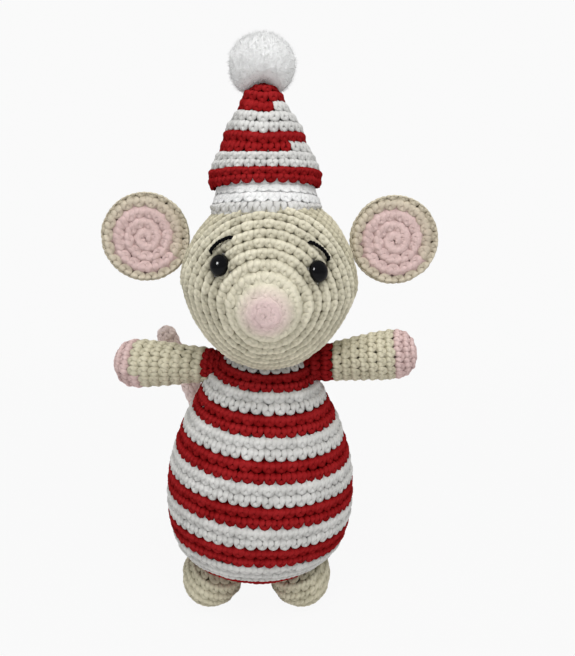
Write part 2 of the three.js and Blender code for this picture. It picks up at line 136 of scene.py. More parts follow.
def turned_surface(outline, matrix, depth_share=1):
    """The places on a round form, by angle, arc and rise above it. depth_share stretches the form in Y."""
    turn = np.array(matrix, float)
    angles = np.linspace(-tau, tau, 2 * steps_in_turn + 1)
    steps = np.hypot(np.diff(np.cos(angles)), depth_share * np.diff(np.sin(angles)))
    walked = np.concatenate([[0], np.cumsum(steps)])
    walked = walked / walked[-1] * 2 * tau - tau

    def place(angle, arc, rise):
        radius, height, outwards, upwards = outline.at(arc)
        angle = np.interp((angle + tau) % tau, walked, angles)
        normal = np.stack([outwards * np.cos(angle), outwards * np.sin(angle) / depth_share, upwards], -1)
        on_it = np.stack([radius * np.cos(angle), depth_share * radius * np.sin(angle), height], -1)
        return (on_it + rise[..., None] * unit(normal)) @ turn[:3, :3].T + turn[:3, 3]

    return place


def lumps(places, size, seed, waves=6, least=0.6, most=1.4):
    """A soft uneven value from about -1 to 1 at each place, from a few waves of about that size."""
    draw = np.random.default_rng(seed)
    total = 0
    for _ in range(waves):
        direction = draw.normal(size=3)
        direction *= math.pi / size / np.linalg.norm(direction) * draw.uniform(least, most)
        total = total + np.sin(places @ direction + draw.uniform(0, tau))
    return 2 * total / waves


def mesh_object(name, places, faces, material):
    """A smooth-shaded mesh from arrays of places and four-cornered faces."""
    mesh = bpy.data.meshes.new(name)
    mesh.vertices.add(len(places))
    mesh.vertices.foreach_set("co", np.asarray(places, np.float32).ravel())
    mesh.loops.add(faces.size)
    mesh.loops.foreach_set("vertex_index", faces.astype(np.int32).ravel())
    mesh.polygons.add(len(faces))
    mesh.polygons.foreach_set("loop_start", np.arange(0, faces.size, 4, dtype=np.int32))
    mesh.polygons.foreach_set("use_smooth", np.ones(len(faces), bool))
    mesh.update(calc_edges=True)
    mesh.materials.append(material)
    piece = bpy.data.objects.new(name, mesh)
    bpy.context.scene.collection.objects.link(piece)
    return piece


def grid_faces(rows, columns, closed):
    """Faces between rows of places; closed joins the last column to the first."""
    faces_across = columns if closed else columns - 1
    row, column = np.meshgrid(np.arange(rows - 1), np.arange(faces_across), indexing="ij")
    after = (column + 1) % columns
    here, above = row * columns, (row + 1) * columns
    corners = [here + column, here + after, above + after, above + column]
    return np.stack([corner.ravel() for corner in corners], -1)


def material_with(name):
    """A new material's nodes, a way to add one, and its main shader."""
    material = bpy.data.materials.new(name)
    material.use_nodes = True
    tree = material.node_tree
    shader = tree.nodes["Principled BSDF"]

    def add(kind, inputs=(), **values):
        node = tree.nodes.new(kind)
        for key, value in values.items():
            setattr(node, key, value)
        for socket, value in dict(inputs).items():
            if isinstance(value, bpy.types.NodeSocket):
                tree.links.new(value, node.inputs[socket])
            else:
                node.inputs[socket].default_value = value
        return node

    return material, tree, add, shader


def spread(add, value, low, high, to_low, to_high):
    """The value, carried from one range to another and held at its ends."""
    sockets = {"Value": value, "From Min": low, "From Max": high, "To Min": to_low, "To Max": to_high}
    return add("ShaderNodeMapRange", sockets).outputs["Result"]


def times(add, *values):
    product = values[0]
    for value in values[1:]:
        product = add("ShaderNodeMath", {0: product, 1: value}, operation="MULTIPLY").outputs[0]
    return product


def fibre_material(name, color, strand_size, softness=0.3):
    """Loose matt fibre: pale, with soft clumps and fine strands."""
    material, tree, add, shader = material_with(name)
    where = add("ShaderNodeTexCoord").outputs["Object"]
    clumps = add("ShaderNodeTexNoise", {
        "Vector": where, "Scale": fibre_detail_share / strand_size, "Detail": 3,
    })
    strands = add("ShaderNodeTexNoise", {
        "Vector": where, "Scale": 1 / strand_size, "Detail": 4, "Distortion": 1.5,
    })
    shade = spread(add, clumps.outputs["Fac"], *fibre_shade)
    tone = add("ShaderNodeVectorMath", {0: color, "Scale": shade}, operation="SCALE")
    bump = add("ShaderNodeBump", {
        "Height": strands.outputs["Fac"], "Strength": 0.5, "Distance": strand_size,
    })
    tree.links.new(tone.outputs[0], shader.inputs["Base Color"])
    tree.links.new(bump.outputs[0], shader.inputs["Normal"])
    shader.inputs["Roughness"].default_value = 1
    shader.inputs["Sheen Weight"].default_value = softness
    return material


def stuffing(name, place, length, seed):
    """A lumpy round filling under a cover, closed at both ends."""
    arcs = np.linspace(0, length, stuffing_rows)
    angles = np.linspace(0, tau, stuffing_columns, endpoint=False)
    arc, angle = np.meshgrid(arcs, angles, indexing="ij")
    depth = np.full(arc.shape, -stuffing_depth)
    places = place(angle, arc, depth)
    uneven = lumps(places, stuffing_lump_size, seed) * stuffing_lump
    places = place(angle, arc, depth + uneven)
    ends = (places[:1], places[-1:])
    bottom, top = (row.mean(1, keepdims=True).repeat(stuffing_columns, 1) for row in ends)
    places = np.concatenate([bottom, places, top])
    fibre = fibre_material(name + "_fibre", stuffing_color, stuffing_strand)
    return mesh_object(name, places.reshape(-1, 3), grid_faces(len(places), stuffing_columns, True), fibre)


body_outline = scaled_outline(body_outline_shares, body_radius, body_height)
body_place = turned_surface(body_outline, Matrix.Translation(body_centre))
body_stuffing = stuffing("body_stuffing", body_place, body_outline.length, seed=3)
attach(body_stuffing, "torso")
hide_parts("body_fill")

# Body cover: cotton yarn in red and in white, worked in single crochet in one spiral from the middle of the
# base up to the collar. Each stitch is a loop of yarn whose low end dips into the round below.
yarn_width = 2.7 * mm
yarn_depth = 1.45 * mm
yarn_squareness = 2.6
yarn_sides = 8
fabric_depth = 2.2 * mm
stitch_width = 4.45 * mm
# A stitch's yarn from its upper left end down and round to its upper right end: across and up in shares of
# the stitch, how deep it lies in the fabric, and how wide it is.
stitch_shares = [
    (-0.5, 1.3, 0.84, 0.4), (-0.475, 1.16, 0.78, 0.48), (-0.43, 1.02, 0.72, 0.6), (-0.365, 0.89, 0.62, 0.75),
    (-0.3, 0.77, 0.53, 0.92), (-0.27, 0.64, 0.48, 1.02), (-0.27, 0.52, 0.475, 0.96), (-0.28, 0.4, 0.5, 0.75),
    (-0.265, 0.28, 0.54, 0.66), (-0.2, 0.19, 0.555, 0.68), (-0.1, 0.175, 0.55, 0.8), (0, 0.18, 0.545, 0.86),
    (0.1, 0.17, 0.55, 0.8), (0.2, 0.185, 0.555, 0.68), (0.265, 0.275, 0.54, 0.66), (0.28, 0.4, 0.5, 0.75),
    (0.27, 0.52, 0.475, 0.96), (0.27, 0.64, 0.48, 1.02), (0.3, 0.77, 0.53, 0.92), (0.365, 0.89, 0.62, 0.75),
    (0.43, 1.02, 0.72, 0.6), (0.475, 1.16, 0.78, 0.48), (0.5, 1.3, 0.84, 0.4),
]
backing_depth_share = 1.02
backing_reach = 0.85
backing_heights = (-0.2, 0.5, 1.2)
pull_limit = 0.04
low_edge_share = 0.4
hidden_edge = 1.2
# How uneven the hand's work is, as the usual difference in each stitch's size, place and depth.
size_wobble = 0.04
height_wobble = 0.03
side_wobble = 0.02
lean_wobble = 0.03
depth_wobble = 0.08 * mm
most_wobble = 2
# How far each round starts past the one below, in shares of a stitch.
round_drift = 0.1
least_stitches = 6
# A round that takes more stitches than this has a multiple of six of them, as a pattern is written.
free_stitches = 15
pattern_step = 6
body_round_height = 4.3 * mm
body_seam = math.radians(82)
body_slant_shares = [0.03, 0.04, 0.05, 0.06, 0.06]
body_bow_shares = [0, 0, 0.03, 0.1, 0.14]
body_sway = 1.8 * mm
body_sway_middle_share = 0.55
red_color = (0.34, 0.018, 0.02)
white_color = (0.72, 0.715, 0.695)
body_stripes = [
    ("body_base_red", 7), ("body_hem_white", 3),
    ("body_stripe_red_1", 2), ("body_stripe_white_1", 2),
    ("body_stripe_red_2", 2), ("body_stripe_white_2", 2),
    ("body_stripe_red_3", 2), ("body_stripe_white_3", 2),
    ("body_stripe_red_4", 2), ("body_stripe_white_4", 2),
    ("body_yoke_red", 2), ("body_collar_white", 1),
]
body_round_shares = [*[1] * 26, 0.88, 0.88, 1.24]
deepest_share = 1.3
# What darkens or lightens the yarn: from a low value to a high one, and the share of its colour at each.
# The slope and hollow shades are painted shade by depth in the fabric, the ply shade is painted shade in
# the grooves between plies, and the stitch, patch and hair shades are tone that differs at random.
slope_shade = (0.2, 0.6, 1, 0.7)
shaded_hollow_depths = (0.55, 0.95)
stitch_shade = (-2, 2, 0.93, 1.05)
patch_shade = (0.3, 0.7, 0.95, 1.04)
ply_shade = (-1, 1, 0.95, 1.02)
hair_shade = (0.3, 0.7, 0.95, 1.04)
patches_per_metre = 120
hairs_per_metre = 2600
twists_per_width = 1.1
blush_core_share = 0.42
# How much fuller the colour grows as the painted shade deepens: from a shade to a shade, and the gamma at
# each.
shade_fullness_gamma = (0.1, 1, 1.5, 1)
yarn_bump = 0.12 * mm
yarn_bump_strength = 0.6
ply_bump_share = 0.6


def stitch_pattern():
    """One stitch as arrays: the middle that each place belongs to in shares of a stitch, the way out from
    it, the faces and their map, which runs round the yarn and along it. A flat backing lies behind, so
    deep that it takes the yarn's darkest painted shade."""
    shares = np.array(stitch_shares)
    route = shares[:, :3] * (stitch_width, body_round_height, -fabric_depth)
    along = unit(np.gradient(route, axis=0))
    side = unit(np.cross(along, (0, 0, 1)))
    up = np.cross(side, along)
    turn = np.linspace(0, tau, yarn_sides, endpoint=False)
    wide, deep = (np.sign(x) * np.abs(x) ** (2 / yarn_squareness) for x in (np.cos(turn), np.sin(turn)))
    sideways = side[:, None] * wide[None, :, None] * yarn_width / 2
    outwards = up[:, None] * deep[None, :, None] * yarn_depth / 2
    out = ((sideways + outwards) * shares[:, 3, None, None]).reshape(-1, 3)
    middle = np.repeat(shares[:, :3], yarn_sides, 0)
    faces = grid_faces(len(shares), yarn_sides, True)
    walked = walked_along(route) / yarn_width
    ring, turns = faces // yarn_sides, np.tile(np.arange(yarn_sides), len(shares) - 1)
    around = np.stack([turns, turns + 1, turns + 1, turns], -1) / yarn_sides
    across, height = np.meshgrid((-backing_reach, 0, backing_reach), backing_heights, indexing="ij")
    backing = np.stack([across.ravel(), height.ravel(), np.full(across.size, backing_depth_share)], -1)
    backing_faces = grid_faces(3, 3, False)
    return (
        np.concatenate([middle, backing]),
        np.concatenate([out, np.zeros_like(backing)]),
        np.concatenate([faces, backing_faces + len(middle)]),
        np.concatenate([np.stack([around, walked[ring]], -1), np.zeros((*backing_faces.shape, 2))]),
    )


def stitch_counts(arcs, radius_at):
    """How many stitches each round has: about as many as fit."""
    middles = (np.asarray(arcs[:-1]) + arcs[1:]) / 2
    fitting = tau * radius_at(middles) / stitch_width
    in_pattern = pattern_step * np.round(fitting / pattern_step)
    stepped = np.where(fitting > free_stitches, in_pattern, np.round(fitting))
    return np.maximum(least_stitches, stepped).astype(int)


def crochet(
    place, radius_at, arcs, seed, seam=math.pi / 2, slant=None, keep=None, lay=None, relief=(1,),
    press=(1.1,), dip=0.05, furrow=(0.15,),
):
    """Works every round in one spiral, each stitch into the top of the one below. Returns arrays over
    stitches: places, depths, tints and turns. slant moves a place along the surface, keep says which
    stitches are made, lay moves a place in or out, relief says how full each round stands out, press how
    wide its yarn is laid, dip how far the stitches hang into the round below, and furrow how deep each
    round falls away at both edges."""
    middle, out, _, _ = stitch_pattern()
    draw = np.random.default_rng(seed)
    counts = stitch_counts(arcs, radius_at)
    shifts = np.cumsum([0, *[tau * round_drift / n for n in counts]])
    stitches = []
    for i, n in enumerate(counts):
        below = counts[max(i - 1, 0)]
        share = (np.arange(n) + 0.5) / n
        share_below = (np.floor(share * below) + 0.5) / below
        lead = tau * (share - share_below) + np.interp(i - 1 + share_below, range(len(shifts)), shifts)
        lead += tau * round_drift / below - np.interp(i + share, range(len(shifts)), shifts)
        pull = (lead * n / tau).clip(-pull_limit, pull_limit) * (i > 0)
        stitches.append(np.column_stack([i + share, np.full(n, tau / n), pull]))
    turns, width, pull = np.concatenate(stitches).T
    angle = seam - tau * (turns % 1) + np.interp(turns, np.arange(len(shifts)), shifts)
    wobble = draw.normal(0, 1, (len(turns), 6)).clip(-most_wobble, most_wobble)[..., None]
    size = 1 + size_wobble * wobble[:, 0]
    sideways, height, depth_share = middle.T
    below_top = (1 - height).clip(0, 1)
    up = height - dip * below_top + height_wobble * wobble[:, 3]
    across = sideways + side_wobble * wobble[:, 1] + (round_drift + lean_wobble * wobble[:, 2]) * height
    across = across + pull[:, None] * below_top * (depth_share < backing_depth_share)
    turn_here = turns[:, None] - sideways * width[:, None] / tau
    spots = np.arange(len(arcs))
    low = np.interp(turn_here - 0.5, spots, arcs)
    high = np.interp(turn_here + 0.5, spots, arcs)
    arc = low + up * (high - low) + out[:, 1] * size
    radius = np.maximum(radius_at((low + high) / 2), yarn_width / 2)
    in_round = turns.astype(int)
    press = np.take(press, in_round, mode="clip")[:, None]
    furrow = np.take(furrow, in_round, mode="clip")[:, None]
    angle = angle[:, None] + across * width[:, None] + out[:, 0] * size * press / radius
    if slant is not None:
        arc = arc + slant(angle, arc)
    edge = 2 * height - 1
    fall = furrow * edge**2 * np.where(edge < 0, low_edge_share, np.where(edge < hidden_edge, 1, 0))
    rise = out[:, 2] * size - fabric_depth * (depth_share + fall) + depth_wobble * wobble[:, 4]
    rise = rise * np.interp(turns, range(len(relief)), relief)[:, None]
    if lay is not None:
        rise = rise + lay(place(angle, arc, np.zeros_like(arc)))
    places = place(angle, arc, rise)
    # How deep each place lies in the fabric, which gives the yarn its painted shade.
    depth = np.clip(-rise / fabric_depth, 0, deepest_share)
    tint = np.repeat(wobble[:, 5], places.shape[1], 1)
    kept = np.ones(len(turns), bool) if keep is None else keep(places.mean(1))
    return places[kept], depth[kept], tint[kept], turns[kept]


def yarn_piece(name, stitches, first, last, material):
    """One length of yarn: the mesh of the stitches from one turn of the spiral up to another."""
    places, depth, tint, turns = stitches
    chosen = (turns >= first) & (turns < last)
    _, _, faces, around = stitch_pattern()
    count, size = int(chosen.sum()), places.shape[1]
    all_faces = (faces[None] + size * np.arange(count)[:, None, None]).reshape(-1, 4)
    piece = mesh_object(name, places[chosen].reshape(-1, 3), all_faces, material)
    mesh = piece.data
    for key, values in (("depth", depth), ("tint", tint)):
        attribute = mesh.attributes.new(key, "FLOAT", "POINT")
        attribute.data.foreach_set("value", values[chosen].ravel().astype(np.float32))
    corner_map = mesh.uv_layers.new(name="yarn")
    corner_map.data.foreach_set("uv", np.tile(around.reshape(-1), count).astype(np.float32))
    return piece


def yarn_material(name, color, hollow_shade_share=0.36, plies=3.0, blush=None):
    """Matt cotton yarn: twisted plies, fine hairs, a little colour change by stitch and in patches, and
    painted shade on the slopes and in the hollows by their depth in the fabric and in the grooves between
    plies, where the colour also grows fuller. blush is a place, how far another colour reaches from it, and
    that colour."""
    material, tree, add, shader = material_with(name)
    where = add("ShaderNodeTexCoord").outputs["Object"]
    on_yarn = add("ShaderNodeUVMap", uv_map="yarn").outputs["UV"]
    depth = add("ShaderNodeAttribute", attribute_name="depth").outputs["Fac"]
    tint = add("ShaderNodeAttribute", attribute_name="tint").outputs["Fac"]
    patches = add("ShaderNodeTexNoise", {
        "Vector": where, "Scale": patches_per_metre, "Detail": 2,
    }).outputs["Fac"]
    hairs = add("ShaderNodeTexNoise", {
        "Vector": where, "Scale": hairs_per_metre, "Detail": 3, "Distortion": 2,
    }).outputs["Fac"]
    split = add("ShaderNodeSeparateXYZ", {0: on_yarn})
    twist = times(add, split.outputs["Y"], twists_per_width)
    around = add("ShaderNodeMath", {0: split.outputs["X"], 1: plies}, operation="MULTIPLY_ADD")
    tree.links.new(twist, around.inputs[2])
    phase = times(add, around.outputs[0], tau)
    # The ply pattern darkens the grooves between the plies: painted shade.
    ply = add("ShaderNodeMath", {0: phase}, operation="SINE").outputs[0]
    shade = times(
        add,
        spread(add, depth, *slope_shade),
        spread(add, depth, *shaded_hollow_depths, 1, hollow_shade_share),
        spread(add, tint, *stitch_shade),
        spread(add, patches, *patch_shade),
        spread(add, ply, *ply_shade),
        spread(add, hairs, *hair_shade),
    )
    color = (*color, 1)
    if blush is not None:
        middle, reach, blush_color = blush
        away = add("ShaderNodeVectorMath", {0: where, 1: tuple(middle)}, operation="DISTANCE")
        share = spread(add, away.outputs["Value"], blush_core_share * reach, reach, 1, 0)
        mix = add("ShaderNodeMix", {0: share, 6: color, 7: (*blush_color, 1)}, data_type="RGBA")
        color = mix.outputs[2]
    # The colour grows fuller where the painted shade is deep, as light passed between the strands would make
    # it.
    full = add("ShaderNodeGamma", {"Color": color, "Gamma": spread(add, shade, *shade_fullness_gamma)})
    tone = add("ShaderNodeVectorMath", {0: full.outputs[0], "Scale": shade}, operation="SCALE")
    height = add("ShaderNodeMath", {0: ply, 1: ply_bump_share, 2: hairs}, operation="MULTIPLY_ADD")
    bump = add("ShaderNodeBump", {
        "Height": height.outputs[0], "Strength": yarn_bump_strength, "Distance": yarn_bump,
    })
    tree.links.new(tone.outputs[0], shader.inputs["Base Color"])
    tree.links.new(bump.outputs[0], shader.inputs["Normal"])
    shader.inputs["Roughness"].default_value = 0.95
    shader.inputs["Specular IOR Level"].default_value = 0
    return material


red_yarn = yarn_material("red_yarn", red_color)
white_yarn = yarn_material("white_yarn", white_color)


def stripe_yarn(name):
    return white_yarn if "white" in name else red_yarn


def body_slant(angle, arc):
    """The stripes hang lower on the right, and lower in front than behind towards the shoulders."""
    levels = np.linspace(0, 1, len(body_slant_shares))
    slant = np.interp(arc / body_outline.length, levels, body_slant_shares)
    bow = np.interp(arc / body_outline.length, levels, body_bow_shares)
    return body_outline.radius(arc) * (bow * (1 + np.sin(angle)) - slant * np.cos(angle))


def swayed_body(angle, arc, rise):
    """The body leans a little to the right as it rises."""
    places = body_place(angle, arc, rise)
    level = (places[..., 2] - body_centre.z) / body_height
    places[..., 0] += body_sway * (level - body_sway_middle_share)
    return places


head_centre = Vector((-0.2, -5.3, 133.6)) * mm
head_radius = 34.8 * mm
neck_overlap = 3.2 * mm


def below_head(places):
    """Which places lie outside the head or just inside it, where the cover ends."""
    return np.linalg.norm(places - np.array(head_centre), axis=-1) > head_radius - neck_overlap


# In each stripe the lowest round is laid narrower than those above, so that its stitches show one by one.
low_press = 1.01
high_press = 1.22
white_furrow = 0.1
red_furrow = 0.4
body_round_ends = np.concatenate([[0], np.cumsum(body_round_shares)])
body_arcs = body_round_ends / body_round_ends[-1] * body_outline.length
body_presses, body_furrows = [], []
for stripe, round_count in body_stripes:
    body_presses += [low_press] + [high_press] * (round_count - 1)
    body_furrows += [white_furrow if "white" in stripe else red_furrow] * round_count
body_stitches = crochet(
    swayed_body,
    body_outline.radius,
    body_arcs,
    seed=11,
    seam=body_seam,
    slant=body_slant,
    press=body_presses,
    furrow=body_furrows,
    keep=below_head,
)
first_round = 0
for stripe, round_count in body_stripes:
    last_round = first_round + round_count
    cover = yarn_piece(stripe + "_yarn", body_stitches, first_round, last_round, stripe_yarn(stripe))
    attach(cover, "torso")
    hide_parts(stripe)
    first_round = last_round

# Feet: two small beige lobes, each worked round and round from under its outer side, filled, and sewn on
# under the body so that it carries the toy.
foot_centres = {"left": Vector((-24.2, -5.8, 9.5)) * mm, "right": Vector((12.0, -5.8, 9.5)) * mm}
foot_width = 26.4 * mm
foot_length = 42 * mm
foot_height = 20 * mm
foot_roundness = 2.4
foot_slant = 0.42
floor_gap = 0.2 * mm
beige_color = (0.7, 0.655, 0.5)
beige_yarn = yarn_material("beige_yarn", beige_color)


def lobe_outline(radius, height, roundness, steps=12):
    """Half the section of a squared-off ball, from its lowest point up."""
    heights = -np.cos(np.linspace(0, math.pi, steps + 1))
    radii = (1 - np.abs(heights) ** roundness) ** (1 / roundness)
    return Outline(np.column_stack([radii * radius, (heights + 1) / 2 * height]))


def even_rounds(outline, start, end, height):
    """The arcs between rounds of about this height."""
    return np.linspace(start, end, max(1, round((end - start) / height)) + 1)


foot_outline = lobe_outline(foot_width / 2, foot_height, foot_roundness)
foot_stretch = foot_length / foot_width
foot_arcs = even_rounds(foot_outline, 0, foot_outline.length, body_round_height)
foot_seed = 20


def foot_radius_at(arc):
    return foot_outline.radius(arc) * (1 + foot_stretch) / 2


for side, name in ((-1, "left"), (1, "right")):
    base = Matrix.Translation(foot_centres[name] - Vector((0, 0, foot_height / 2)))
    on_foot = turned_surface(foot_outline, base, foot_stretch)

    def foot_place(angle, arc, rise):
        places = on_foot(angle, arc, rise)
        places[..., 2] = np.maximum(places[..., 2], floor_gap)
        return places

    def foot_tilt(angle, arc):
        return side * foot_slant * foot_outline.radius(arc) * np.cos(angle)

    stitches = crochet(foot_place, foot_radius_at, foot_arcs, seed=foot_seed + side, slant=foot_tilt)
    foot = yarn_piece(f"foot_{name}_yarn", stitches, 0, len(foot_arcs), beige_yarn)
    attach(foot, "torso")
    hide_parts(f"foot_{name}")

# Tail: a thin tube of pink cotton yarn, worked in narrow rounds from its tip and filled with its own
# fabric. It is sewn on low at the body's back, and curls up behind one arm.
tail_root = Vector((-8.2, 35.1, 30)) * mm
tail_length = 88 * mm
tail_radius = 4.7 * mm
tail_relief_share = 0.65
tail_route_shares = [
    (0.02, -0.1, -0.02), (0, -0.02, 0), (-0.045, 0.05, 0.045),
    (-0.136, 0.068, 0.159), (-0.227, 0.017, 0.318), (-0.284, -0.034, 0.466),
    (-0.33, -0.08, 0.614), (-0.386, -0.119, 0.75), (-0.42, -0.148, 0.852),
]
# The tail's pink is a lighter copy of the pink yarn of the hands: painted light against the arm's shadow.
tail_lit_pink = (0.95, 0.79, 0.75)
tail_lit_yarn = yarn_material("tail_lit_yarn", tail_lit_pink)


def tube_surface(points, radius):
    """The places on a round tube with a ball end, by angle and by arc from the tip of the ball."""
    route = curve_through(points)[::-1]
    walked = walked_along(route)
    along = unit(np.gradient(route, walked, axis=0))
    side = unit(np.cross(along, (0, 1, 0)))
    up = np.cross(side, along)
    cap = radius * math.pi / 2

    def sample(columns, distance):
        return np.stack([np.interp(distance, walked, column) for column in columns.T], -1)

    def place(angle, arc, rise):
        swing = np.clip(arc / radius, 0, math.pi / 2)
        distance = np.maximum(arc - cap, 0)
        sideways = sample(side, distance) * np.cos(angle)[..., None]
        upwards = sample(up, distance) * np.sin(angle)[..., None]
        forwards = sample(along, distance) * np.cos(swing)[..., None]
        normal = (sideways + upwards) * np.sin(swing)[..., None] - forwards
        return sample(route, distance) + normal * (radius + rise)[..., None]

    def radius_at(arc):
        return radius * np.sin(np.clip(arc / radius, 0, math.pi / 2))

    return place, radius_at, walked[-1] + cap


tail_points = [tail_root + Vector(share) * tail_length for share in tail_route_shares]
tail_place, tail_radius_at, tail_arc = tube_surface(tail_points, tail_radius)
tail_arcs = np.linspace(0, tail_arc, round(tail_arc / body_round_height) + 1)
tail_stitches = crochet(tail_place, tail_radius_at, tail_arcs, seed=31, relief=(tail_relief_share,))
tail = yarn_piece("tail_lit_yarn", tail_stitches, 0, len(tail_arcs), tail_lit_yarn)
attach(tail, "tail")
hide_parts("tail")

# Arms: stuffed tubes of cotton yarn, worked from the hand to the shoulder. The hand is pink, the arm beige
# and the short sleeve red, and the sleeve's end is sewn to the body.
shoulders = {"left": Vector((-24.3, -1.8, 98)) * mm, "right": Vector((15.9, -1.8, 98)) * mm}
arm_turns = {"left": (1.5, 170), "right": (-9, -6)}
arm_lengths = {"left": 40.4 * mm, "right": 43.4 * mm}
arm_radius = 10.4 * mm
arm_seeds = {"left": 4, "right": 5}
# From the inner end, which tapers where it lies inside the body, to the fingertips.
arm_outline_shares = [
    (0.48, -0.2), (0.64, -0.07), (0.74, 0.05), (0.77, 0.15), (0.83, 0.286), (0.92, 0.476), (0.99, 0.667),
    (1, 0.786), (0.92, 0.881), (0.69, 0.952), (0.39, 0.988), (0, 1),
]
hand_lengths = {"left": 10.8 * mm, "right": 9.4 * mm}
sleeve_lengths = {"left": 0.4 * mm, "right": 9.6 * mm}
hand_rounds = 4
arm_rounds = 7
sleeve_rounds = 4
pink_color = (0.76, 0.57, 0.545)
pink_yarn = yarn_material("pink_yarn", pink_color, hollow_shade_share=0.55)

for name, shoulder in shoulders.items():
    arm_length, sleeve_length = arm_lengths[name], sleeve_lengths[name]
    from_fingertips = reversed(arm_outline_shares)
    arm_outline = Outline([(r * arm_radius, (1 - x) * arm_length) for r, x in from_fingertips])
    hand_arc = arm_outline.arc_at_height(hand_lengths[name])
    sleeve_arc = arm_outline.arc_at_height(arm_length - sleeve_length)
    arm_arcs = np.concatenate([
        np.linspace(0, hand_arc, hand_rounds + 1),
        np.linspace(hand_arc, sleeve_arc, arm_rounds + 1)[1:],
        np.linspace(sleeve_arc, arm_outline.length, sleeve_rounds + 1)[1:],
    ])
    rise, back = arm_turns[name]
    towards_hand = Matrix.Rotation(math.radians(back), 4, "Z")
    towards_hand = towards_hand @ Matrix.Rotation(math.radians(rise), 4, "Y")
    from_hand = Matrix.Translation((arm_length, 0, 0)) @ Matrix.Rotation(-math.pi / 2, 4, "Y")
    arm_place = turned_surface(arm_outline, Matrix.Translation(shoulder) @ towards_hand @ from_hand)
    stitches = crochet(arm_place, arm_outline.radius, arm_arcs, seed=arm_seeds[name])
    sleeve_start = hand_rounds + arm_rounds
    for part, first, last, yarn, slot in (
        ("hand", 0, hand_rounds, pink_yarn, "yarn_pink"),
        ("arm", hand_rounds, sleeve_start, beige_yarn, "yarn_beige"),
        ("sleeve", sleeve_start, sleeve_start + sleeve_rounds, red_yarn, "yarn_red"),
    ):
        piece = yarn_piece(f"{part}_{name}_yarn", stitches, first, last, yarn)
        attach(piece, f"arm_{name}")
        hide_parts(f"{part}_{name}")

# Head: one beige cover of cotton yarn, worked from the pink nose over the snout to the back, filled with
# loose fibre and sewn on at the neck. The pink of the nose fades into the beige round it.
face_pitch = math.radians(11)
face_roll = math.radians(3.5)
snout_length = 41 * mm
snout_outline_shares = [
    (0, 1), (0.1, 0.99), (0.195, 0.963), (0.316, 0.902), (0.471, 0.817), (0.644, 0.707), (0.822, 0.561),
    (0.943, 0.39), (0.994, 0.195),
]
nose_color = (0.8, 0.62, 0.6)
# The face's beige is a lighter copy of the beige yarn than the crown's: painted light.
face_lit_beige = (0.8, 0.755, 0.6)
chin_narrowing_share = 0.14
chin_curve = 0.7
crown_narrowing_share = 0.07
dimple_depth = 1.5 * mm
dimple_reach = 4.4 * mm
head_first_arcs = [arc * mm for arc in (0, 3.6, 7, 12.2, 16.6, 21.4, 25.3, 29.1, 33.1, 37.2)]
head_presses = (1.8, 1.8, 1.7, 1.5, 1.4)
nose_relief_shares = [0.35, 0.35, 0.3, 0.85, 1.1, 1.45]
nose_seam = math.radians(45)
blush_reach = 11.5 * mm
nose_rounds = 2
face_rounds = 11
snout = [(r * head_radius, (1 - y) * snout_length) for r, y in snout_outline_shares]
back_steps = 8
back_turns = np.linspace(0, math.pi / 2, back_steps + 1)
back_of_head = [(head_radius * math.cos(a), snout_length + head_radius * math.sin(a)) for a in back_turns]
head_outline = Outline([*snout, *back_of_head])
face_turn = Matrix.Rotation(face_roll, 4, "Y") @ Matrix.Rotation(face_pitch, 4, "X")
face = Matrix.Translation(head_centre) @ face_turn
from_nose = Matrix.Translation((0, -snout_length, 0)) @ Matrix.Rotation(-math.pi / 2, 4, "X")
on_head = turned_surface(head_outline, from_nose)


def head_place(angle, arc, rise):
    """The places on the head, which is narrower at the chin and at the crown."""
    places = on_head(angle, arc, rise)
    above = places[..., 2] / head_radius
    chin = chin_narrowing_share * np.maximum(0, -above) ** chin_curve
    crown = crown_narrowing_share * np.maximum(0, above)
    places[..., 0] *= 1 - chin - crown
    turn = np.array(face)
    return places @ turn[:3, :3].T + turn[:3, 3]


eye_sideways = 18.5 * mm
eye_above = 13.5 * mm
last_face_arc = head_first_arcs[-1]


def face_point(sideways, above):
    """A place on the face by how far it lies beside and above the nose, with the way out from it."""
    front = head_outline.arcs < last_face_arc
    radii = head_outline.points[front, 0]
    arc = np.interp(math.hypot(sideways, above), radii, head_outline.arcs[front])
    angle = math.atan2(-above, sideways)
    ground, raised = head_place(np.full(2, angle), np.full(2, arc), np.array([0, mm]))
    return Vector(ground), Vector(raised - ground).normalized()


def pressed_by_eyes(places):
    """The cover is drawn in a little round each eye."""
    depth = 0
    for side in (-1, 1):
        ground, _ = face_point(side * eye_sideways, eye_above)
        away = np.linalg.norm(places - np.array(ground), axis=-1)
        depth = depth - dimple_depth * np.exp(-((away / dimple_reach) ** 2))
    return depth


back_arcs = even_rounds(head_outline, last_face_arc, head_outline.length, body_round_height)
head_arcs = np.concatenate([head_first_arcs, back_arcs[1:]])
head_stitches = crochet(
    head_place,
    head_outline.radius,
    head_arcs,
    seed=41,
    seam=nose_seam,
    lay=pressed_by_eyes,
    relief=nose_relief_shares,
    press=head_presses,
)
nose_tip = (face @ from_nose).translation
# The nose and the face take the lighter copy of the beige yarn, painted light, into which the nose's pink
# fades.
face_yarn = yarn_material("face_yarn", face_lit_beige, blush=(nose_tip, blush_reach, nose_color))
nose_yarn = yarn_material("nose_yarn", face_lit_beige, blush=(nose_tip, blush_reach, nose_color))
for part, first, last, yarn, slot, node in (
    ("nose", 0, nose_rounds, nose_yarn, "yarn_pink", "nose_tip"),
    ("face", nose_rounds, face_rounds, face_yarn, "yarn_beige", "head_cover"),
    ("crown", face_rounds, len(head_arcs), beige_yarn, "yarn_beige", "head_cover"),
):
    piece = yarn_piece(part + "_yarn", head_stitches, first, last, yarn)
    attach(piece, "head")
    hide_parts(node)
head_stuffing = stuffing("head_stuffing", head_place, head_outline.length, seed=5)
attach(head_stuffing, "head")
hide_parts("head_fill")

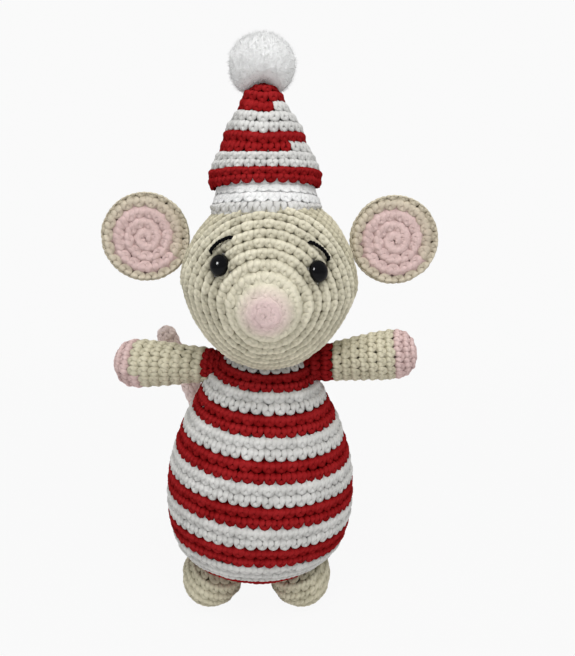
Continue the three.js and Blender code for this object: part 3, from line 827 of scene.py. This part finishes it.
# Eyes: glossy black plastic domes, each on a stem that goes through the cover into a clear washer, which
# is pressed on from inside and holds it.
eye_radius = 3.6 * mm
eye_height = 3 * mm
stem_radius = 1.2 * mm
stem_length = 8 * mm
washer_radius = 4.6 * mm
washer_thickness = 1.4 * mm
washer_depth = 3.6 * mm
eye_seat = 1.1 * mm
eye_stretch = 1.1
dome_edge_share = 0.96
dome_skirt_share = 0.15
eye_color = (0.003, 0.003, 0.004)
eye_roughness = 0.06
eye_gloss = 0.14
washer_color = (0.8, 0.8, 0.8)
washer_roughness = 0.2
washer_clearness = 0.8
marks_per_metre = 900
marks_range = (0.3, 0.7)
marked_roughness_share = 1.5


def plastic_material(name, color, roughness, gloss=0.5, clear=0):
    """Smooth plastic, a little rougher in places where it has been touched."""
    material, tree, add, shader = material_with(name)
    where = add("ShaderNodeTexCoord").outputs["Object"]
    marks = add("ShaderNodeTexNoise", {"Vector": where, "Scale": marks_per_metre, "Detail": 2})
    most_rough = roughness * marked_roughness_share
    marked = spread(add, marks.outputs["Fac"], *marks_range, roughness, most_rough)
    tree.links.new(marked, shader.inputs["Roughness"])
    shader.inputs["Base Color"].default_value = (*color, 1)
    shader.inputs["Specular IOR Level"].default_value = gloss
    shader.inputs["Transmission Weight"].default_value = clear
    return material


def turned_form(name, outline, base, outward, material, sides=48, stretch=1):
    """A round form turned about an axis, from its outline of radius and height. stretch makes it taller."""
    points = np.array(outline, float)
    turn = np.linspace(0, tau, sides, endpoint=False)
    ring = np.stack([np.cos(turn), stretch * np.sin(turn)], -1)
    flat = points[:, None, :1] * ring[None]
    places = np.concatenate([flat, np.repeat(points[:, None, 1:], sides, 1)], -1).reshape(-1, 3)
    rotation = np.array(outward.to_track_quat("Z", "Y").to_matrix())
    faces = grid_faces(len(points), sides, True)
    return mesh_object(name, places @ rotation.T + np.array(base), faces, material)


eye_plastic = plastic_material("eye_plastic", eye_color, eye_roughness, gloss=eye_gloss)
washer_plastic = plastic_material("washer_plastic", washer_color, washer_roughness, clear=washer_clearness)
dome_steps = 11
dome_smoothing = 4
dome_turns = np.linspace(0, math.pi / 2, dome_steps + 1)
dome_foot = -dome_skirt_share * eye_height
dome = [(eye_radius * math.sin(a), eye_height * math.cos(a)) for a in dome_turns]
dome += [(dome_edge_share * eye_radius, dome_foot), (stem_radius, dome_foot)]
dome += [(stem_radius, -stem_length), (0, -stem_length)]
dome = curve_through(dome, dome_smoothing)
washer = [
    (stem_radius, 0), (washer_radius, 0), (washer_radius, washer_thickness),
    (stem_radius, washer_thickness), (stem_radius, 0),
]
for side, name in ((-1, "left"), (1, "right")):
    ground, outward = face_point(side * eye_sideways, eye_above)
    seat = ground - outward * eye_seat
    eye = turned_form(f"eye_{name}_dome", dome, seat, outward, eye_plastic, stretch=eye_stretch)
    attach(eye, "head")
    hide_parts(f"eye_{name}")
    washer_seat = ground - outward * washer_depth
    ring = turned_form(f"washer_{name}_ring", washer, washer_seat, outward, washer_plastic)
    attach(ring, "head")
    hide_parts(f"eye_washer_{name}")

# Eyebrows: one long stitch of black thread above each eye. The thread has two twisted plies, and both of
# its ends go in through the cover.
brow_from_eye = [(2.8 * mm, 3.9 * mm), (0.4 * mm, 6.7 * mm), (-3.1 * mm, 8.8 * mm)]
brow_end_share = 0.3
brow_ply_radius = 0.43 * mm
brow_twist_length = 2.6 * mm
brow_ply_gap_share = 0.75
brow_ply_sides = 7
brow_side_guide = (0, 1, 0.3)
brow_steps = 14
brow_rise = 0.35 * mm
brow_end_depth = 1.3 * mm
thread_color = (0.006, 0.006, 0.007)
black_thread = yarn_material("black_thread", thread_color)


def rings_round(side, up, sides):
    """The ways out all round each place of a strand, from its way sideways and its way up."""
    turn = np.linspace(0, tau, sides, endpoint=False)
    return side[:, None] * np.cos(turn)[None, :, None] + up[:, None] * np.sin(turn)[None, :, None]


def tube_along(route, radius, sides):
    """Places round a strand along a route, with the faces between them."""
    along = unit(np.gradient(route, axis=0))
    side = unit(np.cross(along, brow_side_guide))
    ring = rings_round(side, np.cross(side, along), sides)
    return (route[:, None] + ring * radius).reshape(-1, 3), grid_faces(len(route), sides, True)


def joined(parts):
    """Several pieces of mesh, each as places and faces, in one."""
    starts = np.cumsum([0, *[len(places) for places, _ in parts[:-1]]])
    faces = [faces + start for (_, faces), start in zip(parts, starts)]
    return np.concatenate([places for places, _ in parts]), np.concatenate(faces)


for side, name in ((-1, "left"), (1, "right")):
    knots = []
    for outward_shift, up_shift in brow_from_eye:
        ground, outward = face_point(side * (eye_sideways + outward_shift), eye_above + up_shift)
        knots.append((ground, outward))
    line = [ground + outward * brow_rise for ground, outward in knots]
    first_end = line[0] + (line[0] - line[1]) * brow_end_share - knots[0][1] * brow_end_depth
    last_end = line[-1] + (line[-1] - line[-2]) * brow_end_share - knots[-1][1] * brow_end_depth
    route = [first_end, *line, last_end]
    middle = curve_through(route, brow_steps)
    walked = walked_along(middle)
    outward = np.array(knots[1][1])
    across = unit(np.cross(np.gradient(middle, axis=0), outward))
    plies = []
    for start_turn in (0, math.pi):
        turn = (walked / brow_twist_length * tau + start_turn)[:, None]
        offset = (across * np.cos(turn) + outward * np.sin(turn)) * brow_ply_radius * brow_ply_gap_share
        plies.append(tube_along(middle + offset, brow_ply_radius, brow_ply_sides))
    brow = mesh_object(f"eyebrow_{name}_thread", *joined(plies), black_thread)
    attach(brow, "head")
    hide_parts(f"eyebrow_{name}")

# Ears: flat stuffed rounds of cotton yarn, each a front disc with a pink lining and a beige rim, sewn round
# its edge to a plain beige disc, and sewn to the side of the head.
ear_centres = {"left": Vector((-48.4, -2.3, 149.5)) * mm, "right": Vector((48.4, -2.3, 148.3)) * mm}
ear_radius = 17.7 * mm
ear_thickness = 4.8 * mm
ear_edge = 1.1 * mm
ear_overlap = 1 * mm
ear_arcs = [0, 4.4 * mm, 8.2 * mm, 12.5 * mm, 16.2 * mm, 20.2 * mm]
lining_rounds = 3
ear_rounds = 5
ear_relief_shares = [0.6, 0.8, 0.8, 0.8, 1, 1.2]
ear_presses = [1.6, 1.5, 1.5, 1.25, 1.05]
# Over the ear's middle the beige turns darker and browner, and fades back to the plain beige towards the
# rim's edge.
ear_middle_reach = 20 * mm
ear_middle_color = (0.62, 0.5, 0.42)
ear_seam = math.radians(18)
ear_seed = 51
ear_edge_share = 0.3
ear_end_share = 0.99
ear_outline = Outline([
    *[(share * ear_radius, 0) for share in (0, 0.25, 0.5, 0.75)],
    (ear_radius - ear_edge, 0),
    (ear_radius - ear_edge_share * ear_edge, ear_edge_share * ear_edge),
    (ear_radius, ear_edge),
    (ear_radius, ear_thickness / 2),
    (ear_end_share * ear_radius, ear_thickness / 2 + ear_overlap),
])
for name, centre in ear_centres.items():
    ear_middle_fade = (centre, ear_middle_reach, ear_middle_color)
    ear_yarn = yarn_material(f"ear_{name}_yarn", beige_color, blush=ear_middle_fade)
    for part, turn in (("front", -1), ("rear", 1)):
        base = Matrix.Translation(centre + Vector((0, turn * ear_thickness / 2, 0)))
        ear_place = turned_surface(ear_outline, base @ Matrix.Rotation(turn * math.pi / 2, 4, "X"))
        stitches = crochet(
            ear_place,
            ear_outline.radius,
            ear_arcs,
            seed=ear_seed + turn,
            seam=ear_seam,
            relief=ear_relief_shares,
            press=ear_presses,
        )
        if part == "front":
            lining = yarn_piece(f"ear_{name}_lining_yarn", stitches, 0, lining_rounds, pink_yarn)
            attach(lining, f"ear_{name}")
            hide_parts(f"ear_{name}_lining")
            rim = yarn_piece(f"ear_{name}_rim_yarn", stitches, lining_rounds, ear_rounds, ear_yarn)
            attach(rim, f"ear_{name}")
            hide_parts(f"ear_{name}_back")
        else:
            rear = yarn_piece(f"ear_{name}_rear_yarn", stitches, 0, ear_rounds, beige_yarn)
            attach(rear, f"ear_{name}")
            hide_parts(f"ear_{name}_back")

# Hat: a cone of red and white cotton yarn, worked up in one spiral from the brim to the tip, filled with
# loose fibre and sewn to the crown of the head. The yarn changes in the middle of some rounds.
hat_base = Vector((-1.4, -3.8, 159.8)) * mm
hat_back = math.radians(-4)
hat_left = math.radians(-1.6)
brim_height = 10.2 * mm
hat_height = 38 * mm
hat_radius = 23.2 * mm
hat_droop = 2.2 * mm
hat_lift = 1.8 * mm
hanging_rounds = 2
lifted_rounds = 5
cone_overlap = 0.2 * mm
hat_outline_shares = [
    (0.93, -0.06), (0.95, 0), (0.955, 0.1), (0.895, 0.2), (0.825, 0.29),
    (0.745, 0.37), (0.71, 0.45), (0.665, 0.54), (0.59, 0.62), (0.5, 0.7),
    (0.415, 0.78), (0.355, 0.87), (0.27, 0.94), (0.14, 0.985), (0, 1),
]
hat_stripe_ends = [
    ("hat_stripe_red_1", 2), ("hat_stripe_white_1", 4.43),
    ("hat_stripe_red_2", 6), ("hat_stripe_white_2", 8.48),
    ("hat_tip_red", 12),
]
hat_round_shares = [0.7, 0.7, 0.7, 0.7, 0.9, 0.9, 1.1, 1.1, 1.05, 1.05, 1.05, 1.05]
hat_presses = (low_press, high_press) * 4 + (high_press,)
hat_dip = 0.15
hat_furrow = 0.3
hat_frame = Matrix.Translation(hat_base) @ Matrix.Rotation(hat_left, 4, "Y")
hat_frame = hat_frame @ Matrix.Rotation(hat_back, 4, "X")
hat_outline = scaled_outline(hat_outline_shares, hat_radius, hat_height)
hat_place = turned_surface(hat_outline, hat_frame @ Matrix.Translation((0, 0, brim_height - cone_overlap)))
hat_edge_arc = hat_outline.arc_at_height(0)
hat_arcs = np.concatenate([[0], np.cumsum(hat_round_shares)]) / sum(hat_round_shares)
hat_arcs = hat_edge_arc + hat_arcs * (hat_outline.length - hat_edge_arc)


def hat_edge(angle, arc):
    """The lowest rounds hang lower at the sides and back than in front. Those above rise at the sides."""
    start, middle, end = (hat_arcs[i] for i in (0, hanging_rounds, lifted_rounds))
    low = ((middle - arc) / (middle - start)).clip(0, 1)
    high = ((arc - middle) / (end - middle)).clip(0, 1)
    return hat_lift * np.abs(np.cos(angle)) * high - hat_droop * (1 + np.sin(angle)).clip(0, 1) * low


hat_stitches = crochet(
    hat_place,
    hat_outline.radius,
    hat_arcs,
    seed=61,
    slant=hat_edge,
    press=hat_presses,
    dip=hat_dip,
    furrow=(hat_furrow,),
)
stripe_start = 0
for stripe, stripe_end in hat_stripe_ends:
    cover = yarn_piece(stripe + "_yarn", hat_stitches, stripe_start, stripe_end, stripe_yarn(stripe))
    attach(cover, "head")
    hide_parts(stripe)
    stripe_start = stripe_end
hat_stuffing = stuffing("hat_stuffing", hat_place, hat_outline.length, seed=7)
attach(hat_stuffing, "head")
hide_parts("hat_fill")

# Brim: a thick white band of cotton yarn, the five rounds that the hat begins with. Its lower edge leans
# out over the forehead, and the rounds above that are drawn tight, so that their stitches hardly show.
brim_radius = 22.7 * mm
brim_outline_shares = [
    (0.88, -0.3), (0.965, 0), (0.965, 0.2), (0.9, 0.48), (0.85, 0.75), (0.83, 1), (0.82, 1.16),
]
brim_arc_shares = [0, 0.2, 0.4, 0.64, 0.86, 1]
brim_relief_shares = [1.4, 1.4, 1.2, 0.5, 0.3, 0.3]
brim_presses = [0.9, 0.9, 1.2, 1.5, 1.5]
brim_edge_rounds = 2.2
brim_rounds = 5
band_push = 2.2 * mm
edge_push = 5.4 * mm
edge_height = 4 * mm
# The band's white is a lighter copy of the white yarn that the edge takes: painted light.
brim_lit_white = (0.88, 0.885, 0.88)
brim_outline = scaled_outline(brim_outline_shares, brim_radius, brim_height)
brim_place = turned_surface(brim_outline, hat_frame)
brim_arcs = np.array(brim_arc_shares) * brim_outline.length


def over_forehead(places):
    """The brim's front leans out over the forehead as it goes down."""
    front = ((hat_base.y - places[..., 1]) / brim_radius).clip(0, 1)
    low = ((hat_base.z + edge_height - places[..., 2]) / edge_height).clip(0, 1)
    return front**2 * (band_push + (edge_push - band_push) * low)


brim_stitches = crochet(
    brim_place,
    brim_outline.radius,
    brim_arcs,
    seed=62,
    lay=over_forehead,
    relief=brim_relief_shares,
    press=brim_presses,
)
brim_lit_yarn = yarn_material("brim_lit_yarn", brim_lit_white)
# The edge takes the white yarn, and the band its lighter copy, painted light.
for part, first, last, yarn in (
    ("edge", 0, brim_edge_rounds, white_yarn),
    ("band", brim_edge_rounds, brim_rounds, brim_lit_yarn),
):
    brim = yarn_piece(f"hat_brim_{part}_yarn", brim_stitches, first, last, yarn)
    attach(brim, "head")
    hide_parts("hat_brim_white")

# Pompom: a bundle of white yarn tied at its middle, cut, brushed out and trimmed to a soft ball. It is
# sewn on over the tip of the hat, which presses a hollow into it.
pompom_radius = 12.4 * mm
pompom_above = 6.2 * mm
pompom_behind = 2.5 * mm
pompom_core_share = 0.93
pompom_rows = 80
pompom_columns = 128
pole_angle = 1.57
# The ball is uneven in coarse lumps and in fine ones, whose sizes are shares of its radius.
pompom_coarse_share = 0.02
pompom_coarse_size = 0.7
pompom_fine = 0.12 * mm
pompom_fine_size = 0.12
pompom_lobes = [
    (-0.85, -0.2, -0.6), (0.85, -0.2, -0.5), (0.3, 0.1, 0.95), (-0.75, -0.2, 0.35), (0.85, 0, 0.3),
]
tip_way = (0.05, -0.6, -0.8)
tip_reach = 0.5
tip_hollow_share = 0.3
lobe_reach = 0.5
lobe_rise_share = 0.08
pompom_hairs = 9000
hair_length = 1 * mm
hair_radius = 0.075 * mm
hair_root_share = 0.4
hair_least_share = 0.7
hair_scatter = 0.02
hair_lean = 0.45
hair_step_shares = (0, 0.6, 1)
hair_width_shares = (1, 0.8, 0.2)
hair_sides = 3
pompom_strand = 0.8 * mm
pompom_color = (0.92, 0.925, 0.92)
pompom_seed = 71


def ball_directions(count):
    """Directions spread evenly over a ball."""
    i = np.arange(count) + 0.5
    height = 1 - 2 * i / count
    turn = i * math.pi * (3 - math.sqrt(5))
    flat = np.sqrt(1 - height**2)
    return np.stack([flat * np.cos(turn), flat * np.sin(turn), height], -1)


def pompom_size(out):
    """How far the brushed yarn reaches each way: a ball with a few soft lobes and a hollow at the tip."""
    size = pompom_core_share + pompom_coarse_share * lumps(out, pompom_coarse_size, pompom_seed)
    for lobe in pompom_lobes:
        way = np.array(lobe) / np.linalg.norm(lobe)
        size = size + lobe_rise_share * np.exp(-np.sum((out - way) ** 2, -1) / lobe_reach**2)
    size = size - tip_hollow_share * np.exp(-np.sum((out - tip_way) ** 2, -1) / tip_reach**2)
    return pompom_radius * size


def pompom_core():
    """A lumpy ball of brushed fibre."""
    turns = np.linspace(0, tau, pompom_columns, endpoint=False)
    turn, lift = np.meshgrid(turns, np.linspace(-pole_angle, pole_angle, pompom_rows))
    flat = np.cos(lift)
    out = np.stack([np.cos(turn) * flat, np.sin(turn) * flat, np.sin(lift)], -1).reshape(-1, 3)
    size = pompom_size(out) + pompom_fine * lumps(out, pompom_fine_size, pompom_seed)
    return out * size[:, None], grid_faces(pompom_rows, pompom_columns, True)


def pompom_hair():
    """Many short fine hairs that stand out of the ball, each a thin bent tube."""
    draw = np.random.default_rng(pompom_seed)
    ways = unit(ball_directions(pompom_hairs) + draw.normal(0, hair_scatter, (pompom_hairs, 3)))
    roots = pompom_size(ways) - hair_root_share * hair_length
    leans = draw.normal(0, hair_lean, (pompom_hairs, 3))
    steps = np.array(hair_step_shares)
    widths = np.array(hair_width_shares) * hair_radius
    side = unit(np.cross(ways, draw.normal(size=(pompom_hairs, 3))))
    ring = rings_round(side, np.cross(side, ways), hair_sides)
    reach = roots[:, None] + hair_length * draw.uniform(hair_least_share, 1, (pompom_hairs, 1)) * steps
    middle = ways[:, None] * reach[:, :, None] + leans[:, None] * (hair_length * steps**2)[None, :, None]
    places = middle[:, :, None] + ring[:, None] * widths[None, :, None, None]
    faces = grid_faces(len(steps), hair_sides, True)
    starts = len(steps) * hair_sides * np.arange(pompom_hairs)
    return places.reshape(-1, 3), (faces[None] + starts[:, None, None]).reshape(-1, 4)


pompom_height = brim_height - cone_overlap + hat_height + pompom_above
pompom_centre = (hat_frame @ Matrix.Translation((0, pompom_behind, pompom_height))).translation
pompom_yarn = fibre_material("pompom_yarn", pompom_color, pompom_strand, softness=1)
pompom_places, pompom_faces = joined([pompom_core(), pompom_hair()])
pompom = mesh_object("pompom_tufts", pompom_places + np.array(pompom_centre), pompom_faces, pompom_yarn)
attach(pompom, "head")
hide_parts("pompom")

# Floor and light: a plain white floor that melts into a white background and keeps the toy's soft shadow,
# under light from all round and one large soft lamp above the camera. A second lamp, at the left, only
# makes the gleam in the eyes.
floor_size = 6000 * mm
floor_color = (0.9, 0.9, 0.9, 1)
floor_fade_start = 180 * mm
floor_fade_end = 500 * mm
floor_near_share = 0.97
background_color = (0.955, 0.955, 0.955, 1)
around_color = (1, 1, 1, 1)
around_strength = 0.46
lamp_aim = Vector((0, 0, 110)) * mm
lamp_above_place = Vector((40, -400, 880)) * mm
lamp_above_size = 550 * mm
lamp_above_watts = 5.2
lamp_gleam_place = Vector((-500, -640, 560)) * mm
lamp_gleam_size = 260 * mm
lamp_gleam_watts = 12

floor_material, floor_tree, add_floor_node, floor_shader = material_with("floor")
floor_shader.inputs["Base Color"].default_value = floor_color
floor_shader.inputs["Roughness"].default_value = 1
floor_where = add_floor_node("ShaderNodeTexCoord").outputs["Object"]
floor_away = add_floor_node("ShaderNodeVectorMath", {0: floor_where}, operation="LENGTH")
floor_distance = floor_away.outputs["Value"]
floor_fade = spread(add_floor_node, floor_distance, floor_fade_start, floor_fade_end, floor_near_share, 1)
rays = add_floor_node("ShaderNodeLightPath")
glow = add_floor_node("ShaderNodeEmission", {"Color": background_color, "Strength": 1})
floor_mix = add_floor_node("ShaderNodeMixShader", {
    0: times(add_floor_node, floor_fade, rays.outputs["Is Camera Ray"]),
    1: floor_shader.outputs[0],
    2: glow.outputs[0],
})
floor_tree.links.new(floor_mix.outputs[0], floor_tree.nodes["Material Output"].inputs["Surface"])
floor_corners = np.array([(-1, -1, 0), (1, -1, 0), (1, 1, 0), (-1, 1, 0)]) * floor_size / 2
floor = mesh_object("floor", floor_corners, np.array([[0, 1, 2, 3]]), floor_material)

world = bpy.data.worlds.new("studio")
world.use_nodes = True
bpy.context.scene.world = world
world_tree = world.node_tree
around_light = world_tree.nodes["Background"]
around_light.inputs["Color"].default_value = around_color
around_light.inputs["Strength"].default_value = around_strength
plain = world_tree.nodes.new("ShaderNodeBackground")
plain.inputs["Color"].default_value = background_color
world_rays = world_tree.nodes.new("ShaderNodeLightPath")
world_mix = world_tree.nodes.new("ShaderNodeMixShader")
world_tree.links.new(world_rays.outputs["Is Camera Ray"], world_mix.inputs[0])
world_tree.links.new(around_light.outputs[0], world_mix.inputs[1])
world_tree.links.new(plain.outputs[0], world_mix.inputs[2])
world_tree.links.new(world_mix.outputs[0], world_tree.nodes["World Output"].inputs["Surface"])


def soft_lamp(name, place, size, watts):
    """A square lamp that faces the middle of the toy."""
    data = bpy.data.lights.new(name, "AREA")
    data.size = size
    data.energy = watts
    lamp = bpy.data.objects.new(name, data)
    lamp.location = place
    lamp.rotation_euler = (place - lamp_aim).to_track_quat("Z", "Y").to_euler()
    bpy.context.scene.collection.objects.link(lamp)
    return lamp


lamp_above = soft_lamp("lamp_above", lamp_above_place, lamp_above_size, lamp_above_watts)
lamp_above.visible_glossy = False
lamp_gleam = soft_lamp("lamp_gleam", lamp_gleam_place, lamp_gleam_size, lamp_gleam_watts)
lamp_gleam.visible_diffuse = False
